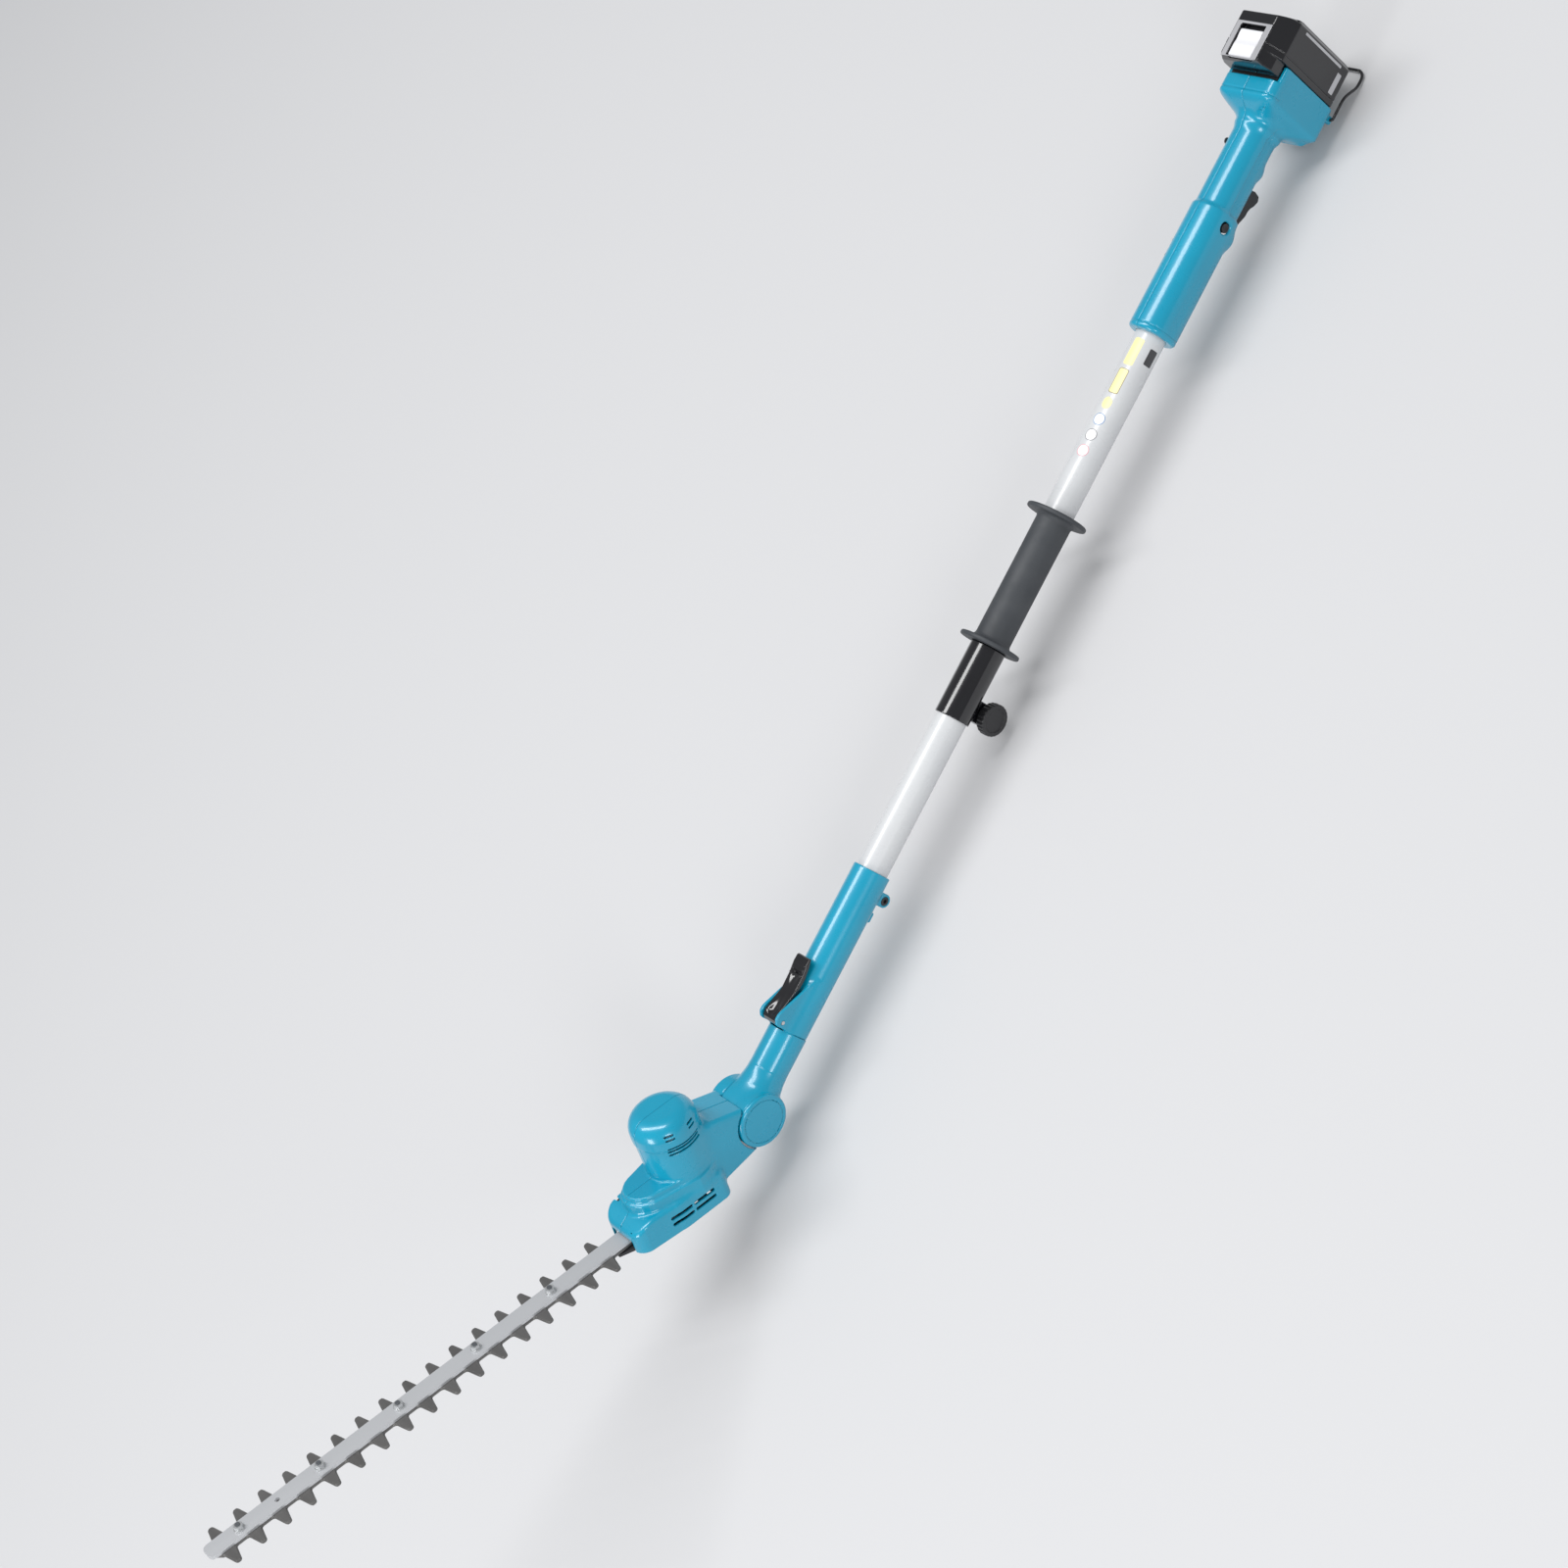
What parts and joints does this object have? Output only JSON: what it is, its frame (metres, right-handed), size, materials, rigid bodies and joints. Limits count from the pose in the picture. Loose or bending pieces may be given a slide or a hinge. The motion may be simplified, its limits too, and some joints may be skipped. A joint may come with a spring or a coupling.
{
  "type": "pole hedge trimmer",
  "caption": "Cordless pole hedge trimmer: slide-on battery and trigger handle at one end of a straight pole, tilting motor head with a double-sided reciprocating blade at the other.",
  "frame": {"origin": "on the pole's axis, in the middle of the bare tube in front of the grip", "axes": "+X along the pole from the battery to the blade, +Z away from the trigger in the tool's plane, +Y the tool's left, with the lock-off button"},
  "size_m": [1.7281, 0.073, 0.4089],
  "materials": {
    "teal_plastic": "smooth satin moulded plastic",
    "black_plastic": "satin black moulded plastic",
    "gloss_black": "gloss black moulded plastic",
    "grip_rubber": "matt soft-touch rubber",
    "white_tube": "satin white powder coat",
    "wire_black": "black coated steel wire",
    "grey_plastic": "light grey satin plastic",
    "bright_steel": "brushed bright steel",
    "blade_steel": "ground hardened steel",
    "zinc_steel": "zinc-plated steel",
    "dark_steel": "black oxide steel",
    "cast_alloy": "die-cast aluminium alloy",
    "copper": "enamelled copper winding",
    "magnet": "ferrite magnet",
    "cell_wrap": "blue shrink wrap",
    "board": "coated circuit board",
    "lead_sheath": "grey rubber sheath"
  },
  "bodies": {
    "pole": {"pole_tube": "white_tube", "power_lead": "lead_sheath", "handle_left": "teal_plastic", "handle_right": "teal_plastic", "handle_screws": "dark_steel", "terminal_block": "black_plastic", "controller_board": "board", "switch_body": "black_plastic", "trigger_pin": "zinc_steel", "trigger_spring": "zinc_steel", "lock_button_spring": "zinc_steel", "lower_sleeve": "teal_plastic", "pinch_bolt": "dark_steel", "pinch_nut": "zinc_steel", "lever_pin": "zinc_steel", "lock_spring": "zinc_steel", "neck": "teal_plastic", "hub_cap": "teal_plastic"},
    "front_grip": {"grip_rubber": "grip_rubber", "clamp_sleeve": "gloss_black", "clamp_screw": "zinc_steel"},
    "clamp_knob": {"clamp_knob": "black_plastic"},
    "trigger": {"trigger": "black_plastic"},
    "lock_button": {"lock_button": "black_plastic"},
    "hook": {"hook": "wire_black"},
    "battery": {"battery_case": "gloss_black", "battery_lid": "black_plastic", "battery_cells": "cell_wrap"},
    "battery_button": {"battery_button": "grey_plastic"},
    "latch_lever": {"latch_lever": "gloss_black"},
    "lock_rod": {"lock_rod": "zinc_steel"},
    "head": {"head_left": "teal_plastic", "head_right": "teal_plastic", "head_screws": "dark_steel", "under_cover": "black_plastic", "motor_can": "zinc_steel", "motor_magnets": "magnet", "gear_case": "cast_alloy", "gear_cover": "cast_alloy", "upper_bearing": "bright_steel", "lower_bearing": "bright_steel", "guide_bar": "bright_steel", "bar_bolts": "dark_steel", "blade_screws": "dark_steel", "blade_nuts": "zinc_steel", "blade_holder": "black_plastic", "head_lead": "lead_sheath", "hinge_drum": "cast_alloy", "detent_disc": "dark_steel", "drum_nut": "dark_steel"},
    "crank": {"drive_gear": "dark_steel", "crank_shaft": "zinc_steel"},
    "rotor": {"rotor": "copper", "fan": "black_plastic", "pinion": "dark_steel"},
    "upper_blade": {"upper_blade": "blade_steel"},
    "lower_blade": {"lower_blade": "blade_steel"}
  },
  "joints": [
    {"name": "grip_slide", "type": "slide", "parent": "pole", "child": "front_grip", "axis": [1, 0, 0], "range_m": [-0.19, 0.16]},
    {"name": "clamp_knob_turn", "type": "hinge", "parent": "front_grip", "child": "clamp_knob", "pos_m": [-0.101, 0, -0.0361], "axis": [0, 1, 0], "continuous": true},
    {"name": "trigger_squeeze", "type": "hinge", "parent": "pole", "child": "trigger", "pos_m": [-0.6305, 0, -0.017], "axis": [0, 1, 0], "range_deg": [0, 12], "stiffness_Nm_per_rad": 0.9, "springref_deg": -14.32, "deforming": ["trigger_spring"]},
    {"name": "lock_button_push", "type": "slide", "parent": "pole", "child": "lock_button", "axis": [0, -1, 0], "range_m": [0, 0.004], "stiffness_N_per_m": 500, "springref_m": -0.002, "deforming": ["lock_button_spring"]},
    {"name": "hook_swing", "type": "hinge", "parent": "pole", "child": "hook", "pos_m": [-0.7715, 0, -0.0505], "axis": [0, 1, 0], "range_deg": [-100, 0]},
    {"name": "battery_slide", "type": "slide", "parent": "pole", "child": "battery", "axis": [0, 0, 1], "range_m": [0, 0.11]},
    {"name": "battery_button_push", "type": "slide", "parent": "battery", "child": "battery_button", "axis": [-1, 0, 0], "range_m": [0, 0.004], "stiffness_N_per_m": 600, "springref_m": -0.002},
    {"name": "latch_lever_lift", "type": "hinge", "parent": "pole", "child": "latch_lever", "pos_m": [0.252, 0, 0.025], "axis": [0, 1, 0], "range_deg": [0, 35], "stiffness_Nm_per_rad": 0.6, "springref_deg": -28.65, "deforming": ["lock_spring"]},
    {"name": "lock_rod_draw", "type": "slide", "parent": "pole", "child": "lock_rod", "axis": [-1, 0, 0], "range_m": [0, 0.0078]},
    {"name": "head_tilt", "type": "hinge", "parent": "pole", "child": "head", "pos_m": [0.3445, 0, 0], "axis": [0, -1, 0], "range_deg": [-80, 35]},
    {"name": "crank_turn", "type": "hinge", "parent": "head", "child": "crank", "pos_m": [0.44264, 0, 0.05162], "axis": [-0.5736, 0, 0.8192], "continuous": true},
    {"name": "motor_turn", "type": "hinge", "parent": "head", "child": "rotor", "pos_m": [0.40348, 0, 0.06571], "axis": [-0.5736, 0, 0.8192], "continuous": true},
    {"name": "upper_blade_stroke", "type": "slide", "parent": "head", "child": "upper_blade", "axis": [0.8192, 0, 0.5736], "range_m": [-0.005, 0.005]},
    {"name": "lower_blade_stroke", "type": "slide", "parent": "head", "child": "lower_blade", "axis": [0.8192, 0, 0.5736], "range_m": [-0.005, 0.005]}
  ],
  "couplings": [
    {"joint": "lock_rod_draw", "follows": "latch_lever_lift", "m_per_rad": 0.0125},
    {"joint": "motor_turn", "follows": "crank_turn", "ratio": -5},
    {"joint": "lower_blade_stroke", "follows": "upper_blade_stroke", "ratio": -1}
  ]
}
